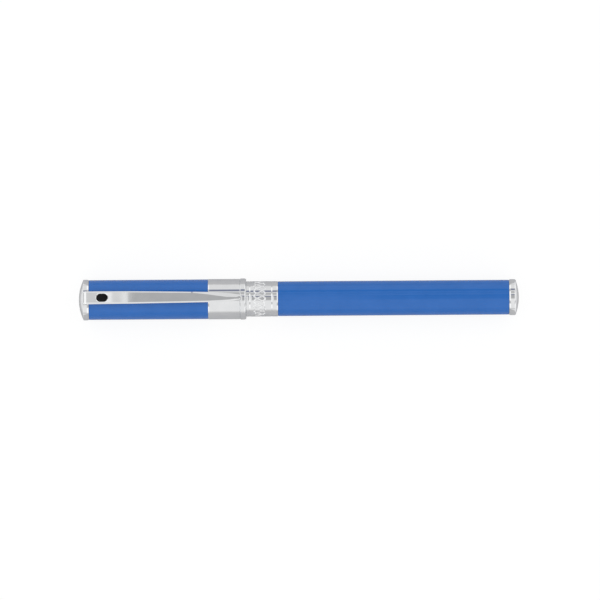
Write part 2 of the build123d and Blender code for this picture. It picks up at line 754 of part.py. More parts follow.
def refill_reservoir():
    """Fibre reservoir that fills the refill tube."""
    start = TIP + RESERVOIR_FRONT
    end = REFILL_END - RESERVOIR_BACK
    return turned(
        (start, WICK_RADIUS),
        (start, REFILL_BORE),
        (end, REFILL_BORE),
        (end, 0),
        (TIP + WICK_BACK, 0),
        (TIP + WICK_BACK, WICK_RADIUS),
    )


def refill_end_plug():
    """Plastic plug in the refill's end, where the spring pushes."""
    head = REFILL_END - END_PLUG_HEAD
    return turned(
        (REFILL_END - END_PLUG_REACH, 0),
        (REFILL_END - END_PLUG_REACH, REFILL_BORE),
        (head, REFILL_BORE),
        (head, REFILL_RADIUS),
        (REFILL_END - END_PLUG_CHAMFER, REFILL_RADIUS),
        (REFILL_END, REFILL_RADIUS - END_PLUG_CHAMFER),
        (REFILL_END, 0),
    )


SUBPARTS = (
    crown_dome,
    crown_ring,
    crown_plug,
    cap_tube,
    cap_band,
    inner_cap,
    clip,
    clip_inlay,
    barrel_tube,
    centre_ring,
    thread_bush,
    tail_plug,
    tail_ring,
    tail_dome,
    refill_spring,
    section_o_ring,
    section_sleeve,
    grip_section,
    nose_trim_ring,
    nose_cone,
    snap_ring,
    refill_tube,
    refill_shoulder,
    refill_tip,
    refill_ball,
    refill_wick,
    refill_reservoir,
    refill_end_plug,
)


def main():
    """Write each sub-part to its own STEP, lifted so that the lip rests at height zero."""
    os.makedirs("parts", exist_ok=True)
    for subpart in SUBPARTS:
        solid = Pos(0, 0, AXIS_HEIGHT) * subpart()
        export_step(solid, f"parts/{subpart.__name__}.step")


main()
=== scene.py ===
import json
import math

import bmesh
import bpy
from mathutils import Matrix, Vector


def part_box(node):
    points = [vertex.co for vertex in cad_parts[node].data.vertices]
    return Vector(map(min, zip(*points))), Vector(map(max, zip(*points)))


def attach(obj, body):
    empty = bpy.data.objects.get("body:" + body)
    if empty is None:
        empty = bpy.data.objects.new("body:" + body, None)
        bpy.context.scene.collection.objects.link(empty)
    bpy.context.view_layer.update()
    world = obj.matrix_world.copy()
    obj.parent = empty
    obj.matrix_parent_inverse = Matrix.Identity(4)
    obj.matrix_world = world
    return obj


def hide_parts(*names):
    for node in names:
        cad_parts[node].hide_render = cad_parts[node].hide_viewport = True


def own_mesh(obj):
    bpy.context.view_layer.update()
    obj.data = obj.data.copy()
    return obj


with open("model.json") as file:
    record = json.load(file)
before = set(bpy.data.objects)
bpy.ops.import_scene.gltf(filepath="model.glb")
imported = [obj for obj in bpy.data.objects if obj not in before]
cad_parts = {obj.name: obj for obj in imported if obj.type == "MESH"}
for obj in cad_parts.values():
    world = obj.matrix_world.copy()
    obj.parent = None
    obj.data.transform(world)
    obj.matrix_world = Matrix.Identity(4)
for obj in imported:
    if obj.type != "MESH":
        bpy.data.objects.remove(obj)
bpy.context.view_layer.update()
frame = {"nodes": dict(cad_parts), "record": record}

MM = 0.001
SEGMENTS = 256            # round a turned piece
RING_SEGMENTS = 720       # round the engraved ring
TIP_SEGMENTS = 96
BALL_SEGMENTS = 64
ARC_STEPS = 6             # round a rounded corner
DOME_STEPS = 28
CORNER_SHARE = 0.48       # most of an edge that one rounding may take
SHARP = math.radians(28)  # edges sharper than this stay crisp
CLIP_SHARP = math.radians(5)

NODES = frame["nodes"]


# Stations in millimetres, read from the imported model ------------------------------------
def span(node, axis=0):
    """Lowest and highest place of a CAD node along one axis, in millimetres."""
    low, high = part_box(node)
    return low[axis] / MM, high[axis] / MM


CAP_END, _ = span("crown_dome")
CROWN_FACE, CROWN_BACK = span("crown_ring")
BAND_START, SEAM = span("cap_band")
BARREL_START, BARREL_END = span("barrel_tube")
_, TAIL_END = span("tail_dome")
_, TAIL_RING_END = span("tail_ring")
TIP, _ = span("refill_ball")
CLIP_FRONT, CLIP_TIP = span("clip")
AXIS = sum(span("cap_band", 2)) / 2
LIP_START = SEAM - 1.85
NIB_X = SEAM - 5.2
INLAY_X = sum(span("clip_inlay")) / 2
SPRING_START, SPRING_END = span("refill_spring")

# Radii about the pen's axis, in millimetres
CROWN_RADIUS = 6.25       # rim of the crown button
CROWN_RING_RADIUS = 6.375
CROWN_POCKET = 5.6        # pocket for the clip's washer
CROWN_STUD = 1.5
CAP_RADIUS = 6.225
CAP_BORE = 5.6
CAP_NECK = 6.0            # end of the cap tube, under the band
BAND_RADIUS = 6.31
GROOVE_RADIUS = 6.18      # groove in front of the cap's lip
LIP_RADIUS = 6.45
MOUTH_BORE = 5.15
LINER_RADIUS = 5.55
LINER_BORE = 5.12
LINER_NOSE = 5.1
LINER_NOSE_BORE = 4.55
RING_RADIUS = 5.53        # centre ring
RING_BORE = 4.55
RING_BUSH = 5.15          # bush that the centre ring is fitted on
BARREL_RADIUS = 5.45
BARREL_BORE = 4.95
TAIL_RING_RADIUS = 5.65
TAIL_BUTTON_RADIUS = 4.95
TAIL_STUD = 2.0
GRIP_COLLAR = 5.0
GRIP_GROOVE = 4.4
GRIP_BACK = 4.72
GRIP_WAIST = 4.32
GRIP_FRONT = 4.02
GRIP_CORE = 3.9           # brass core that the grip is fitted on
CHANNEL = 3.12            # bore round the refill
TRIM_RADIUS = 4.15
SPIGOT = 3.6              # nose cone's spigot, inside the grip
NOSE_BACK = 3.95
NOSE_WAIST = 2.98
NOSE_FRONT = 1.62
NOSE_SEAT = 2.0
NOSE_BORE = 1.25
TIP_RADIUS = 1.15
WICK_BORE = 0.45
BALL_RADIUS = 0.35


# Mesh helpers ---------------------------------------------------------------------------
def finished(mesh, name, body, slot, nodes, sharp=SHARP):
    """Object for a mesh in millimetres about the pen's axis, placed, riding and painted."""
    mesh.transform(Matrix.Translation((0, 0, AXIS * MM)) @ Matrix.Scale(MM, 4))
    for polygon in mesh.polygons:
        polygon.use_smooth = True
    mesh.set_sharp_from_angle(angle=sharp)
    piece = bpy.data.objects.new(name, mesh)
    bpy.context.scene.collection.objects.link(piece)
    mesh.materials.clear()
    mesh.materials.append(MATERIALS[slot])
    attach(piece, body)
    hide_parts(*nodes)
    return piece


def rounded(corners, closed=True):
    """Outline of (x, radius) points, from corners given as (x, radius, rounding)."""
    outline = []
    last = len(corners) - 1
    for index, corner in enumerate(corners):
        here = Vector(corner[:2])
        rounding = corner[2] if len(corner) > 2 else 0
        inner = closed or 0 < index < last
        if not rounding or not inner:
            outline.append(here)
            continue
        before = Vector(corners[index - 1][:2]) - here
        after = Vector(corners[(index + 1) % len(corners)][:2]) - here
        half = before.angle(after) / 2
        reach = min(rounding / math.tan(half), before.length * CORNER_SHARE, after.length * CORNER_SHARE)
        start = here + before.normalized() * reach
        end = here + after.normalized() * reach
        weight = math.sin(half)
        for step in range(ARC_STEPS + 1):
            t = step / ARC_STEPS
            shares = ((1 - t) ** 2, 2 * t * (1 - t) * weight, t * t)
            total = start * shares[0] + here * shares[1] + end * shares[2]
            outline.append(total / sum(shares))
    return outline


def drawn(built, name):
    """Mesh data from a bmesh."""
    mesh = bpy.data.meshes.new(name)
    built.to_mesh(mesh)
    built.free()
    return mesh


def turned_mesh(name, outline, closed=True, wobble=None, segments=SEGMENTS):
    """Mesh of an outline of (x, radius) points turned about X. wobble(x, angle, radius) cuts into it."""
    built = bmesh.new()
    rings = []
    for x, radius in outline:
        if radius < 1e-6:
            rings.append([built.verts.new((x, 0, 0))] * segments)
            continue
        ring = []
        for step in range(segments):
            angle = 2 * math.pi * step / segments
            reach = radius - (wobble(x, angle, radius) if wobble else 0)
            ring.append(built.verts.new((x, reach * math.sin(angle), reach * math.cos(angle))))
        rings.append(ring)
    pairs = list(zip(rings, rings[1:]))
    if closed:
        pairs.append((rings[-1], rings[0]))
    for near, far in pairs:
        for step in range(segments):
            after = (step + 1) % segments
            corners = [near[step], near[after], far[after], far[step]]
            unique = list(dict.fromkeys(corners))
            if len(unique) > 2:
                built.faces.new(unique)
    bmesh.ops.recalc_face_normals(built, faces=built.faces)
    return drawn(built, name)


def skinned(name, rows, way=1):
    """Mesh over rows of points, each row a closed loop, with the first and last rows capped. The first
    cap follows its row, or runs against it when way is -1, and the last cap does the opposite."""
    built = bmesh.new()
    loops = [[built.verts.new(place) for place in row] for row in rows]
    for near, far in zip(loops, loops[1:]):
        for index in range(len(near)):
            after = (index + 1) % len(near)
            built.faces.new((near[index], near[after], far[after], far[index]))
    built.faces.new(loops[0][::way])
    built.faces.new(loops[-1][::-way])
    bmesh.ops.recalc_face_normals(built, faces=built.faces)
    return drawn(built, name)


def turned(name, corners, body, slot, nodes, **options):
    """Turned piece from corners given as (x, radius, rounding)."""
    closed = corners[0][1] > 0 or corners[-1][1] > 0
    mesh = turned_mesh(name, rounded(corners, closed), closed, **options)
    return finished(mesh, name, body, slot, nodes)


def dome_arc(face_x, apex_x, base_radius):
    """Points of a shallow dome from its apex to its rim."""
    height = abs(apex_x - face_x)
    sphere = (base_radius**2 + height**2) / (2 * height)
    reach = math.asin(base_radius / sphere)
    inward = math.copysign(1, face_x - apex_x)
    points = []
    for step in range(DOME_STEPS + 1):
        angle = reach * step / DOME_STEPS
        points.append((apex_x + inward * sphere * (1 - math.cos(angle)), sphere * math.sin(angle)))
    return points


def combined(piece, tool, operation):
    """Mesh piece with the tool cut from it or joined to it. The tool is removed."""
    change = piece.modifiers.new(operation, "BOOLEAN")
    change.solver = "EXACT"
    change.operation = operation
    change.object = tool
    bpy.context.view_layer.update()
    done = piece.evaluated_get(bpy.context.evaluated_depsgraph_get())
    mesh = bpy.data.meshes.new_from_object(done)
    piece.modifiers.clear()
    piece.data = mesh
    bpy.data.objects.remove(tool)
    return piece


def loose(mesh):
    """Object for a mesh in millimetres that is still being shaped."""
    piece = bpy.data.objects.new(mesh.name, mesh)
    bpy.context.scene.collection.objects.link(piece)
    return piece


def block(low, high):
    """Box between two corners."""
    built = bmesh.new()
    bmesh.ops.create_cube(built, size=1)
    middle = (Vector(low) + Vector(high)) / 2
    size = Vector(high) - Vector(low)
    bmesh.ops.scale(built, vec=size, verts=built.verts)
    bmesh.ops.translate(built, vec=middle, verts=built.verts)
    return loose(drawn(built, "block"))


# Materials ------------------------------------------------------------------------------
def linked(tree, value, socket):
    """Give an input socket a value, or link another socket to it."""
    if isinstance(value, bpy.types.NodeSocket):
        tree.links.new(value, socket)
    else:
        socket.default_value = value


def mapped(tree, source, start, end, low=0.0, high=1.0, smooth=False):
    """Source from start to end, mapped to low to high."""
    made = tree.nodes.new("ShaderNodeMapRange")
    if smooth:
        made.interpolation_type = "SMOOTHSTEP"
    tree.links.new(source, made.inputs["Value"])
    for key, value in {"From Min": start, "From Max": end, "To Min": low, "To Max": high}.items():
        made.inputs[key].default_value = value
    return made.outputs["Result"]


def mixed_colour(tree, factor, first, second):
    """Colour between two colours or sockets."""
    made = tree.nodes.new("ShaderNodeMix")
    made.data_type = "RGBA"
    tree.links.new(factor, made.inputs[0])
    linked(tree, first, made.inputs[6])
    linked(tree, second, made.inputs[7])
    return made.outputs[2]


NOISE_SPREAD = (0.3, 0.7)  # where most of a noise's values lie


class Paint:
    """A procedural material whose colour, roughness and bump come from noise on the object."""

    def __init__(self, name):
        self.material = bpy.data.materials.new(name)
        self.material.use_nodes = True
        self.tree = self.material.node_tree
        self.shader = self.tree.nodes["Principled BSDF"]
        self.place = self.tree.nodes.new("ShaderNodeTexCoord").outputs["Object"]

    def node(self, kind, **links):
        """New node with its inputs linked to sockets or set to values."""
        made = self.tree.nodes.new(kind)
        for key, value in links.items():
            linked(self.tree, value, made.inputs[key.replace("_", " ")])
        return made

    def noise(self, scale, stretch=(1, 1, 1), detail=3.0):
        """Noise with about scale features in a millimetre, drawn out along the axes."""
        sizes = [scale * share / MM for share in stretch]
        placed = self.node("ShaderNodeMapping", Vector=self.place, Scale=sizes).outputs[0]
        return self.node("ShaderNodeTexNoise", Vector=placed, Scale=1.0, Detail=detail).outputs["Fac"]

    def ranged(self, source, low, high):
        """The usual spread of a noise, mapped to low to high."""
        return mapped(self.tree, source, *NOISE_SPREAD, low, high)

    def colour(self, source, dark, light):
        """Colour from dark to light as the noise goes."""
        tint = mixed_colour(self.tree, self.ranged(source, 0, 1), (*dark, 1), (*light, 1))
        self.tree.links.new(tint, self.shader.inputs["Base Color"])

    def roughness(self, source, low, high):
        """Roughness from low to high as the noise goes."""
        self.tree.links.new(self.ranged(source, low, high), self.shader.inputs["Roughness"])

    def bump(self, source, depth):
        """Bump of a depth in millimetres."""
        made = self.node("ShaderNodeBump", Height=source, Strength=1.0, Distance=depth * MM)
        self.tree.links.new(made.outputs[0], self.shader.inputs["Normal"])

    def set(self, **values):
        """Constants on the shader's own sockets."""
        for key, value in values.items():
            self.shader.inputs[key.replace("_", " ")].default_value = value


def metal(name, dark, light, rough, lines, depth):
    """Turned or polished metal: fine lines round the axis under a faint uneven sheen."""
    paint = Paint(name)
    paint.set(Metallic=1.0)
    broad = paint.noise(0.35, detail=4.0)
    fine = paint.noise(lines, stretch=(1, 0.06, 0.06), detail=2.0)
    paint.colour(broad, dark, light)
    paint.roughness(broad, *rough)
    paint.bump(fine, depth)
    return paint.material


def plastic(name, dark, light, rough, grain, depth, **constants):
    """Moulded or painted surface with a fine grain."""
    paint = Paint(name)
    broad = paint.noise(0.2, detail=4.0)
    fine = paint.noise(grain)
    paint.colour(broad, dark, light)
    paint.roughness(fine, *rough)
    paint.bump(fine, depth)
    paint.set(**constants)
    return paint.material


def fibre(name, dark, light):
    """Bundled fibres along the axis, soaked with ink."""
    paint = Paint(name)
    strands = paint.noise(6, stretch=(0.05, 1, 1), detail=4.0)
    paint.colour(strands, dark, light)
    paint.roughness(strands, 0.75, 0.95)
    paint.bump(strands, 0.03)
    return paint.material


# Slot: how it is made, its darker and lighter colour, then roughness, texture per millimetre, texture depth
MATERIALS = {
    "polished_chrome": metal(
        "polished_chrome", (0.79, 0.80, 0.81), (0.84, 0.845, 0.85), (0.03, 0.06), 9, 0.0003
    ),
    "blue_lacquer": plastic(
        "blue_lacquer", (0.014, 0.138, 0.495), (0.020, 0.150, 0.525), (0.10, 0.16), 2.2, 0.0012, IOR=1.5
    ),
    "black_lacquer": plastic(
        "black_lacquer", (0.003, 0.003, 0.0035), (0.006, 0.006, 0.007), (0.25, 0.35), 2.2, 0.001,
        Specular_IOR_Level=0.12,
    ),
    "black_resin": plastic(
        "black_resin", (0.010, 0.010, 0.011), (0.016, 0.016, 0.017), (0.2, 0.3), 3.5, 0.003
    ),
    "liner_plastic": plastic(
        "liner_plastic", (0.02, 0.02, 0.021), (0.03, 0.03, 0.032), (0.4, 0.52), 4, 0.006
    ),
    "turned_brass": metal("turned_brass", (0.60, 0.42, 0.17), (0.70, 0.50, 0.22), (0.2, 0.32), 5, 0.006),
    "black_rubber": plastic("black_rubber", (0.012, 0.012, 0.012), (0.02, 0.02, 0.02), (0.6, 0.75), 6, 0.01),
    "spring_steel": metal("spring_steel", (0.46, 0.46, 0.47), (0.56, 0.56, 0.57), (0.22, 0.34), 6, 0.003),
    "refill_steel": metal("refill_steel", (0.58, 0.58, 0.59), (0.68, 0.68, 0.68), (0.16, 0.28), 7, 0.003),
    "refill_plastic": plastic(
        "refill_plastic", (0.03, 0.05, 0.12), (0.04, 0.065, 0.15), (0.35, 0.45), 4, 0.005
    ),
    "ink_fibre": fibre("ink_fibre", (0.006, 0.012, 0.10), (0.02, 0.035, 0.20)),
    "carbide": metal("carbide", (0.30, 0.30, 0.31), (0.38, 0.38, 0.39), (0.12, 0.2), 12, 0.0006),
}


def repaint():
    """Gives every carried-over CAD node the procedural material of its slot."""
    slots = {row["node"]: row["material_slot"] for row in frame["record"]["subparts"]}
    for name, node in NODES.items():
        node.data.materials.clear()
        node.data.materials.append(MATERIALS[slots[name]])


# Cap ------------------------------------------------------------------------------------
WASHER_POCKET = 1.2       # depth of the crown ring's pocket
LIP_FACE = 0.8            # length of the lip's mouth
LINER_STEP = SEAM - 28.5  # where the liner narrows
LINER_TAPER = 0.6
LINER_END = CROWN_BACK + 2.5
LINER_WALL = 1.0
NECK_END = SEAM - 3.5


def crown():
    """Polished crown button, and the ring under it with the notch for the clip."""
    rim = CROWN_FACE + 0.02
    stud_end = CROWN_BACK + 2.1
    stud = [(rim, CROWN_RADIUS - 0.02), (rim, CROWN_STUD), (stud_end, CROWN_STUD), (stud_end, 0)]
    button = dome_arc(CROWN_FACE, CAP_END, CROWN_RADIUS)
    mesh = turned_mesh("CapButton", button + stud, closed=False)
    finished(mesh, "CapButton", "cap", "polished_chrome", ["crown_dome"])
    pocket_end = CROWN_FACE + WASHER_POCKET
    corners = [
        (CROWN_FACE, CROWN_POCKET),
        (CROWN_FACE, CROWN_RING_RADIUS, 0.14),
        (CROWN_BACK - 0.55, CROWN_RING_RADIUS, 0.05),
        (CROWN_BACK, CROWN_RING_RADIUS - 0.13, 0.03),
        (CROWN_BACK, CROWN_STUD),
        (pocket_end, CROWN_STUD),
        (pocket_end, CROWN_POCKET),
    ]
    ring = loose(turned_mesh("CapEndRing", rounded(corners)))
    half = 2.04
    notch = block((CROWN_FACE - 0.5, -half, 5.0), (pocket_end, half, 7.5))
    mesh = combined(ring, notch, "DIFFERENCE").data
    bpy.data.objects.remove(ring)
    finished(mesh, "CapEndRing", "cap", "polished_chrome", ["crown_ring"])


def cap_shell():
    """Lacquered tube of the cap, the chrome band with its lip, and the plastic liner."""
    turned(
        "CapTube",
        [
            (CROWN_BACK, CAP_BORE),
            (CROWN_BACK, CAP_RADIUS, 0.25),
            (BAND_START, CAP_RADIUS, 0.25),
            (BAND_START, CAP_NECK),
            (NECK_END, CAP_NECK),
            (NECK_END, CAP_BORE),
        ],
        "cap", "blue_lacquer", ["cap_tube"],
    )
    turned(
        "CapBand",
        [
            (BAND_START, CAP_NECK),
            (BAND_START, 6.2, 0.03),
            (BAND_START + 0.36, BAND_RADIUS, 0.06),
            (LIP_START - 0.2, BAND_RADIUS, 0.05),
            (LIP_START - 0.05, GROOVE_RADIUS, 0.03),
            (LIP_START, GROOVE_RADIUS),
            (LIP_START, LIP_RADIUS, 0.15),
            (SEAM, LIP_RADIUS, 0.55),
            (SEAM, MOUTH_BORE, 0.08),
            (SEAM - LIP_FACE, MOUTH_BORE),
            (SEAM - LIP_FACE, LINER_RADIUS),
            (NECK_END, LINER_RADIUS),
            (NECK_END, CAP_NECK),
        ],
        "cap", "polished_chrome", ["cap_band"],
    )
    turned(
        "CapLiner",
        [
            (LINER_END, 0),
            (LINER_END, LINER_NOSE, 0.3),
            (LINER_STEP - LINER_TAPER, LINER_NOSE),
            (LINER_STEP, LINER_RADIUS),
            (SEAM - LIP_FACE, LINER_RADIUS),
            (SEAM - LIP_FACE, LINER_BORE, 0.1),
            (LINER_STEP, LINER_BORE),
            (LINER_STEP - LINER_TAPER, LINER_NOSE_BORE),
            (LINER_END + LINER_WALL, LINER_NOSE_BORE, 0.4),
            (LINER_END + LINER_WALL, 0),
        ],
        "cap", "liner_plastic", ["inner_cap"],
    )


# Clip -----------------------------------------------------------------------------------
CREST_X = CAP_END + 16.0
CREST_HEIGHT = 8.7        # of the clip's face, above the axis
ROOT_FALL = 0.0025        # how fast the face falls from its crest to the crown
TIP_FALL = 0.0009         # and from its crest to the tip
CLIP_THICKNESS = 0.95
CLIP_END_THICKNESS = 0.55
CLIP_END_HALF = 0.82      # half width where the tip's rounding begins
CLIP_END_ROUNDING = 0.7
CLIP_CORNER = 1.5         # outside of the bend over the crown
CLIP_INNER_CORNER = 1.9
NIB_HEIGHT = 6.33         # of the nib that presses on the band
NIB_RAMP = 1.8
NIB_FLAT = 1.1
NIB_LIFT = 0.2
TANG = 0.6
TANG_START = CROWN_FACE + 0.1
TANG_HALF = 1.6
BLADE_BOTTOM = 6.4        # the tang is below this height
BEND_STEPS = 24
BLADE_STEPS = 150
SOFT_EDGE = 0.06
# Half widths of the blade along it: (x, half width)
BLADE_HALF = (
    (CLIP_FRONT, 2.02),
    (CREST_X, 1.95),
    (CAP_END + 31.7, 1.74),
    (BAND_START, 1.58),
    (NIB_X - 2, 1.34),
    (NIB_X, 1.2),
    (CLIP_TIP - CLIP_END_ROUNDING, CLIP_END_HALF),
)


def clip_top(x):
    """Height of the clip's face above the axis: steeper before its crest than after."""
    fall = ROOT_FALL if x < CREST_X else TIP_FALL
    return CREST_HEIGHT - fall * (x - CREST_X) ** 2


def between(x, knots):
    """Value at x on the line through (x, value) knots."""
    for (x0, v0), (x1, v1) in zip(knots, knots[1:]):
        if x <= x1:
            t = max(0.0, (x - x0) / (x1 - x0))
            return v0 + (v1 - v0) * t
    return knots[-1][1]


def clip_half(x):
    """Half width of the blade."""
    past = (x - CLIP_TIP + CLIP_END_ROUNDING) / CLIP_END_ROUNDING
    if past > 0:
        return max(SOFT_EDGE, CLIP_END_HALF * math.sqrt(max(0.0, 1 - min(1.0, past) ** 2)))
    return between(x, BLADE_HALF)


def clip_under(x):
    """Height of the blade's underside, with the nib that presses on the band."""
    plain = clip_top(x) - CLIP_THICKNESS
    if x < NIB_X - NIB_RAMP:
        return plain
    if x < NIB_X:
        t = (x - NIB_X + NIB_RAMP) / NIB_RAMP
        return plain + (NIB_HEIGHT - plain) * t * t * (3 - 2 * t)
    if x < NIB_X + NIB_FLAT:
        t = (x - NIB_X) / NIB_FLAT
        return NIB_HEIGHT + NIB_LIFT * t * t
    t = (x - NIB_X - NIB_FLAT) / (CLIP_TIP - NIB_X - NIB_FLAT)
    lifted = NIB_HEIGHT + NIB_LIFT
    return lifted + (clip_top(CLIP_TIP) - CLIP_END_THICKNESS - lifted) * t


def clip_stations():
    """Pairs of outer and inner points up the tang, round the bend and along the blade."""
    start = CLIP_FRONT + CLIP_CORNER
    inner_start = CLIP_FRONT + CLIP_INNER_CORNER
    inner_x = TANG_START + TANG
    throat = 6.9
    stations = [
        ((TANG_START, 5.0), (inner_x, 5.0)),
        ((TANG_START, 6.22), (inner_x, 6.3)),
        ((CLIP_FRONT + 0.04, 6.5), (inner_x, 6.55)),
        ((CLIP_FRONT, 6.62), (inner_x, 6.7)),
    ]
    top = clip_top(start)
    inner_top = clip_top(inner_start) - CLIP_THICKNESS
    for step in range(BEND_STEPS + 1):
        angle = math.pi / 2 * step / BEND_STEPS
        outer = (start - CLIP_CORNER * math.cos(angle), top - CLIP_CORNER + CLIP_CORNER * math.sin(angle))
        inner = (
            inner_start - (inner_start - inner_x) * math.cos(angle),
            throat + (inner_top - throat) * math.sin(angle),
        )
        stations.append((outer, inner))
    first = start + 0.4
    for step in range(1, BLADE_STEPS + 1):
        t = step / BLADE_STEPS
        x = first + (CLIP_TIP - first) * (1 - (1 - t) ** 1.25)
        stations.append(((x, clip_top(x)), (x, clip_under(x))))
    return stations


# Bevel widths along the blade, on its far and near sides: (x, width)
FAR_BEVEL = (
    (CLIP_FRONT, 0.5),
    (CREST_X, 0.4),
    (BAND_START - 5.5, 0.40),
    (BAND_START - 4, 0.42),
    (BAND_START, 0.75),
    (BAND_START + 2.5, 1.0),
    (NIB_X - 0.8, 1.25),
    (CLIP_TIP - 1.4, 0.95),
    (CLIP_TIP, 0.3),
)
NEAR_BEVEL = (
    (CLIP_FRONT, 0.55),
    (CREST_X, 0.42),
    (BAND_START, 0.42),
    (CLIP_TIP - 1.8, 0.4),
    (CLIP_TIP, 0.2),
)
BEVEL_SLOPE = ((CLIP_FRONT, 0.66), (BAND_START - 5.5, 0.66), (BAND_START - 4.5, 0.11), (CLIP_TIP, 0.11))


def clip_blade():
    """Blade and tang as a loft of bevelled sections."""
    rows = []
    for outer, inner in clip_stations():
        out = Vector((outer[0], 0, outer[1]))
        into = Vector((inner[0], 0, inner[1])) - out
        half = clip_half(outer[0]) if outer[1] > BLADE_BOTTOM else TANG_HALF
        section = []
        for side, widths, slopes in ((1, FAR_BEVEL, BEVEL_SLOPE), (-1, NEAR_BEVEL, BEVEL_SLOPE[:1])):
            bevel = min(between(outer[0], widths), half * 1.2)
            drop = into.normalized() * min(bevel * between(outer[0], slopes), into.length * 0.6)
            across = Vector((0, side, 0))
            edge = [
                out + across * (half - bevel),
                out + across * half + drop,
                out + across * half + into - into.normalized() * SOFT_EDGE,
                out + across * (half - SOFT_EDGE) + into,
            ]
            section += edge if side == 1 else edge[::-1]
        rows.append(section)
    return loose(skinned("ClipBlade", rows))


def oval_stack(name, levels, steps=28):
    """Stack of stadium outlines about the inlay: levels are (length, width, height over the clip's face)."""
    rows = []
    for length, width, height in levels:
        radius = width / 2
        straight = (length - width) / 2
        row = []
        for side in (1, -1):
            for step in range(steps + 1):
                angle = math.pi * step / steps - math.pi / 2
                x = INLAY_X + side * (straight + radius * math.cos(angle))
                row.append((x, side * radius * math.sin(angle), clip_top(x) + height))
        rows.append(row)
    return skinned(name, rows, way=-1)


INLAY_LENGTH = 3.6
INLAY_WIDTH = 2.5
INLAY_DEPTH = 0.35
INLAY_RIM = 0.6           # how much wider the recess is at the face
WASHER_RADIUS = 3.5
WASHER_HOLE = 1.85
# The inlay's crowned top: (how much shorter and narrower, height over the clip's face)
INLAY_TOP = ((0.04, -INLAY_DEPTH), (0.04, -0.17), (0.2, -0.09), (0.6, -0.04), (1.4, -0.01))


def clip():
    """Bevelled clip with its washer under the crown, and the oval inlay in its face."""
    blade = clip_blade()
    end = TANG_START + TANG
    washer = [
        (TANG_START, WASHER_HOLE),
        (TANG_START, WASHER_RADIUS, 0.05),
        (end, WASHER_RADIUS, 0.05),
        (end, WASHER_HOLE),
    ]
    combined(blade, loose(turned_mesh("washer", rounded(washer))), "UNION")
    combined(blade, block((TANG_START, -TANG_HALF, 2.6), (end, TANG_HALF, 5.2)), "UNION")
    wide = (INLAY_LENGTH + INLAY_RIM, INLAY_WIDTH + INLAY_RIM)
    recess = oval_stack(
        "recess",
        [
            (INLAY_LENGTH, INLAY_WIDTH, -INLAY_DEPTH),
            (INLAY_LENGTH, INLAY_WIDTH, -0.16),
            (*wide, 0.06),
            (*wide, 1),
        ],
    )
    combined(blade, loose(recess), "DIFFERENCE")
    mesh = blade.data
    bpy.data.objects.remove(blade)
    finished(mesh, "Clip", "clip", "polished_chrome", ["clip"], CLIP_SHARP)
    levels = [(INLAY_LENGTH - less, INLAY_WIDTH - less, height) for less, height in INLAY_TOP]
    finished(oval_stack("ClipInlay", levels), "ClipInlay", "clip", "black_lacquer", ["clip_inlay"])


# Barrel ---------------------------------------------------------------------------------
BRAID_X = SEAM + 4.2      # middle of the engraved braid
BRAID_REACH = 1.7         # how far its strands swing to each side
BRAID_STRANDS = 3
BRAID_WAVES = 7           # round the ring
BRAID_DEPTH = 0.13
BRAID_HALF_LINE = 0.22
BRAID_ROWS = 52           # rows of the mesh across the braid
RING_FACE = SEAM + 0.5    # back of the ring's front wall
RING_LINES = (SEAM + 1.15, BARREL_START - 1.9)
RING_HALF_LINE = 0.18
RING_LINE_DEPTH = 0.1
TAIL_STUD_END = BARREL_END - 2.2


def braid(x, angle, radius):
    """Depth of the engraving on the centre ring: three fine waves that cross each other."""
    if radius < BARREL_RADIUS or abs(x - BRAID_X) > BRAID_REACH + 2 * BRAID_HALF_LINE:
        return 0
    deepest = 0
    for strand in range(BRAID_STRANDS):
        phase = BRAID_WAVES * angle + 2 * math.pi * strand / BRAID_STRANDS
        slope = BRAID_REACH * BRAID_WAVES / radius * math.cos(phase)
        away = abs(x - BRAID_X - BRAID_REACH * math.sin(phase)) / math.hypot(1, slope)
        if away < BRAID_HALF_LINE:
            deepest = max(deepest, BRAID_DEPTH * (1 + math.cos(math.pi * away / BRAID_HALF_LINE)) / 2)
    return deepest


def centre_ring():
    """Chrome ring between cap and barrel: two turned lines and an engraved braid."""
    corners = [(RING_FACE, RING_BORE), (SEAM, RING_BORE), (SEAM, RING_RADIUS, 0.1)]
    for x in RING_LINES:
        corners += [
            (x - RING_HALF_LINE, RING_RADIUS, 0.03),
            (x, RING_RADIUS - RING_LINE_DEPTH, 0.03),
            (x + RING_HALF_LINE, RING_RADIUS, 0.03),
        ]
        if x < BRAID_X:
            half = BRAID_REACH + 0.4
            pitch = 2 * half / BRAID_ROWS
            corners += [(BRAID_X - half + pitch * row, RING_RADIUS) for row in range(BRAID_ROWS + 1)]
    corners += [
        (BARREL_START - 0.36, RING_RADIUS, 0.05),
        (BARREL_START, BARREL_RADIUS, 0.02),
        (BARREL_START, RING_BUSH),
        (RING_FACE, RING_BUSH),
    ]
    turned(
        "CentreRing", corners, "barrel", "polished_chrome", ["centre_ring"],
        wobble=braid, segments=RING_SEGMENTS,
    )


